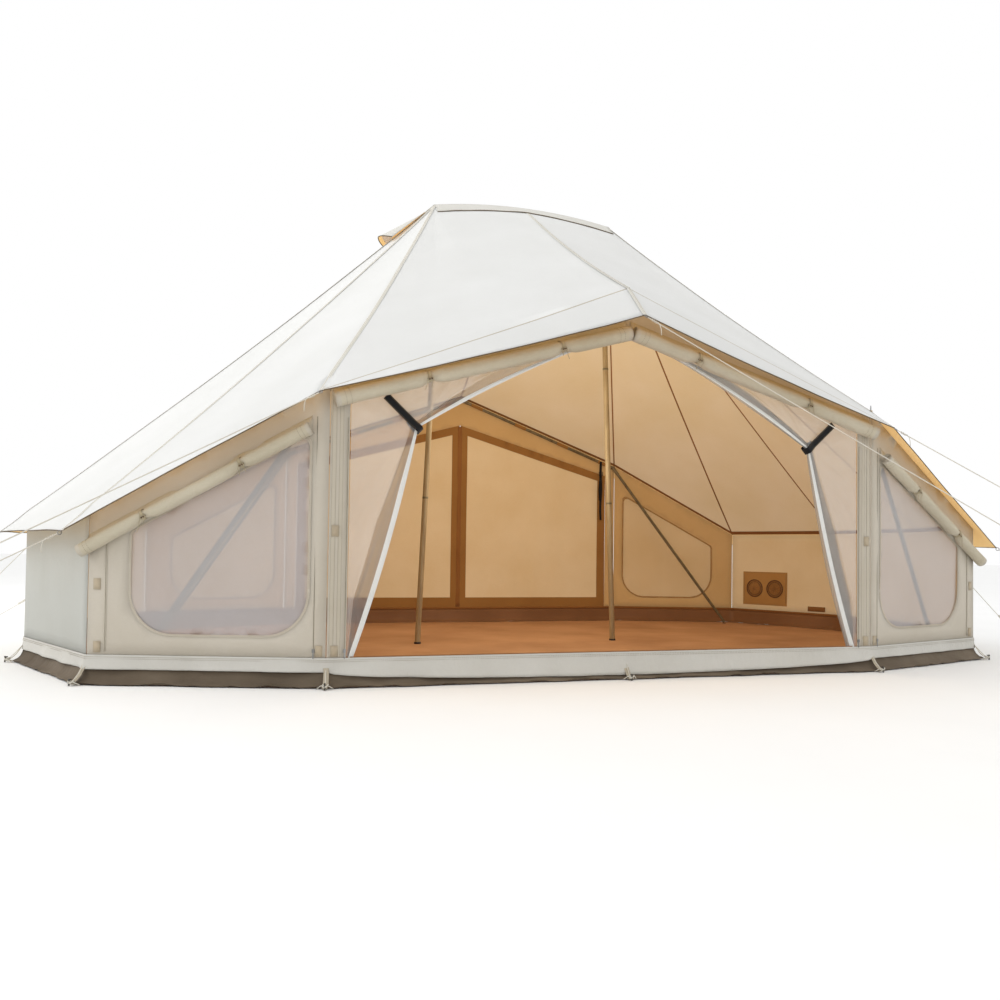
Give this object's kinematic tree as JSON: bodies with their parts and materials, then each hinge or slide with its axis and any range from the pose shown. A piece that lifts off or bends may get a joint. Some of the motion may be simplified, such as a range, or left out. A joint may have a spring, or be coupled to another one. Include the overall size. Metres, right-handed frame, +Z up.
{
  "type": "bell tent",
  "caption": "Large twin-pole bell tent with a gabled front door, mesh windows, rolled-up covers, a bathtub floor and pegged guy ropes.",
  "frame": {"origin": "on the ground, midway between the two centre poles", "axes": "+Z up, +X along the ridge, the open front door faces -Y"},
  "size_m": [7.4629, 4.7808, 3.0598],
  "materials": {
    "base_canvas": "coated, white",
    "beige_webbing": "woven webbing",
    "black_webbing": "woven webbing",
    "canvas": "woven, off-white",
    "floor_sheet": "brown coated",
    "frame_pole": "satin",
    "mesh_net": "fine net",
    "moulded_fitting": "moulded",
    "peg_steel": "satin",
    "ring_brass": "satin",
    "roll_canvas": "woven, beige",
    "rope": "braided",
    "runner_plastic": "moulded",
    "skirt_sheet": "brown coated",
    "steel_pole": "satin",
    "zip_metal": "satin",
    "zip_tape": "woven tape"
  },
  "bodies": {
    "tent": {"a_frame_joints": "moulded_fitting", "a_frame_legs": "frame_pole", "a_frame_rafters": "frame_pole", "base_band": "base_canvas", "cable_port_patch": "roll_canvas", "door_rolls": "roll_canvas", "eave_rings": "ring_brass", "end_walls": "canvas", "floor_upstand": "floor_sheet", "front_door_surround": "canvas", "front_left_door_rope": "rope", "front_left_end_rope": "rope", "front_left_low_rope": "rope", "front_peak_rope": "rope", "front_right_door_rope": "rope", "front_right_end_rope": "rope", "front_right_low_rope": "rope", "front_window_panels": "canvas", "groundsheet": "floor_sheet", "guy_pegs": "peg_steel", "left_centre_pole": "steel_pole", "mesh_doors": "mesh_net", "mud_skirt": "skirt_sheet", "peg_loops": "beige_webbing", "pole_feet": "moulded_fitting", "rear_door_panels": "canvas", "rear_door_surround": "canvas", "rear_left_end_rope": "rope", "rear_left_low_rope": "rope", "rear_right_end_rope": "rope", "rear_window_covers": "canvas", "rear_window_panels": "canvas", "ridge_cap": "canvas", "ridge_pole": "steel_pole", "right_centre_pole": "steel_pole", "roll_ties": "beige_webbing", "roof_ends": "canvas", "roof_sides": "canvas", "tieback_straps": "black_webbing", "vent_hoods": "canvas", "wall_pegs": "peg_steel", "window_meshes": "mesh_net", "window_rolls": "roll_canvas", "zip_tracks": "zip_tape"},
    "front_left_door_runner": {"front_left_door_runner": "runner_plastic"},
    "front_left_end_runner": {"front_left_end_runner": "runner_plastic"},
    "front_left_low_runner": {"front_left_low_runner": "runner_plastic"},
    "front_peak_runner": {"front_peak_runner": "runner_plastic"},
    "front_right_door_runner": {"front_right_door_runner": "runner_plastic"},
    "front_right_end_runner": {"front_right_end_runner": "runner_plastic"},
    "front_right_low_runner": {"front_right_low_runner": "runner_plastic"},
    "hanging_strap": {"hanging_strap": "black_webbing"},
    "left_door_zip_slider": {"left_door_zip_slider": "zip_metal"},
    "left_window_zip_slider": {"left_window_zip_slider": "zip_metal"},
    "rear_door_zip_slider": {"rear_door_zip_slider": "zip_metal"},
    "rear_left_end_runner": {"rear_left_end_runner": "runner_plastic"},
    "rear_left_low_runner": {"rear_left_low_runner": "runner_plastic"},
    "rear_right_end_runner": {"rear_right_end_runner": "runner_plastic"},
    "right_door_zip_slider": {"right_door_zip_slider": "zip_metal"},
    "right_window_zip_slider": {"right_window_zip_slider": "zip_metal"}
  },
  "joints": [
    {"name": "left_door_zip_slider_travel", "type": "slide", "parent": "tent", "child": "left_door_zip_slider", "axis": [0, 0, 1], "range_m": [0, 1.068]},
    {"name": "left_window_zip_slider_travel", "type": "slide", "parent": "tent", "child": "left_window_zip_slider", "axis": [0, 0, 1], "range_m": [0, 1.068]},
    {"name": "rear_door_zip_slider_travel", "type": "slide", "parent": "tent", "child": "rear_door_zip_slider", "axis": [0, 0, 1], "range_m": [0, 1.539]},
    {"name": "right_door_zip_slider_travel", "type": "slide", "parent": "tent", "child": "right_door_zip_slider", "axis": [0, 0, 1], "range_m": [0, 1.068]},
    {"name": "right_window_zip_slider_travel", "type": "slide", "parent": "tent", "child": "right_window_zip_slider", "axis": [0, 0, 1], "range_m": [0, 1.068]},
    {"name": "front_peak_runner_travel", "type": "slide", "parent": "tent", "child": "front_peak_runner", "axis": [0.8408, -0.2303, -0.4899], "range_m": [-1.604, 0.694]},
    {"name": "front_left_door_runner_travel", "type": "slide", "parent": "tent", "child": "front_left_door_runner", "axis": [-0.8027, -0.351, -0.4822], "range_m": [-1.198, 0.496]},
    {"name": "front_right_door_runner_travel", "type": "slide", "parent": "tent", "child": "front_right_door_runner", "axis": [0.7828, -0.3663, -0.5031], "range_m": [-1.148, 0.471]},
    {"name": "front_left_low_runner_travel", "type": "slide", "parent": "tent", "child": "front_left_low_runner", "axis": [-0.7105, -0.5546, -0.4331], "range_m": [-0.663, 0.234]},
    {"name": "front_right_low_runner_travel", "type": "slide", "parent": "tent", "child": "front_right_low_runner", "axis": [0.7009, -0.5157, -0.4927], "range_m": [-0.582, 0.195]},
    {"name": "front_left_end_runner_travel", "type": "slide", "parent": "tent", "child": "front_left_end_runner", "axis": [-0.6753, -0.2615, -0.6897], "range_m": [-0.415, 0.113]},
    {"name": "front_right_end_runner_travel", "type": "slide", "parent": "tent", "child": "front_right_end_runner", "axis": [0.5798, -0.2894, -0.7616], "range_m": [-0.376, 0.094]},
    {"name": "rear_left_end_runner_travel", "type": "slide", "parent": "tent", "child": "rear_left_end_runner", "axis": [-0.6753, 0.2615, -0.6897], "range_m": [-0.415, 0.113]},
    {"name": "rear_right_end_runner_travel", "type": "slide", "parent": "tent", "child": "rear_right_end_runner", "axis": [0.5798, 0.2894, -0.7616], "range_m": [-0.376, 0.094]},
    {"name": "rear_left_low_runner_travel", "type": "slide", "parent": "tent", "child": "rear_left_low_runner", "axis": [-0.807, 0.3126, -0.501], "range_m": [-0.572, 0.19]},
    {"name": "hanging_strap_swing", "type": "hinge", "parent": "tent", "child": "hanging_strap", "pos_m": [1.35, 1.7082, 1.47533], "axis": [0, 1, 0], "range_deg": [-25, 25]}
  ]
}
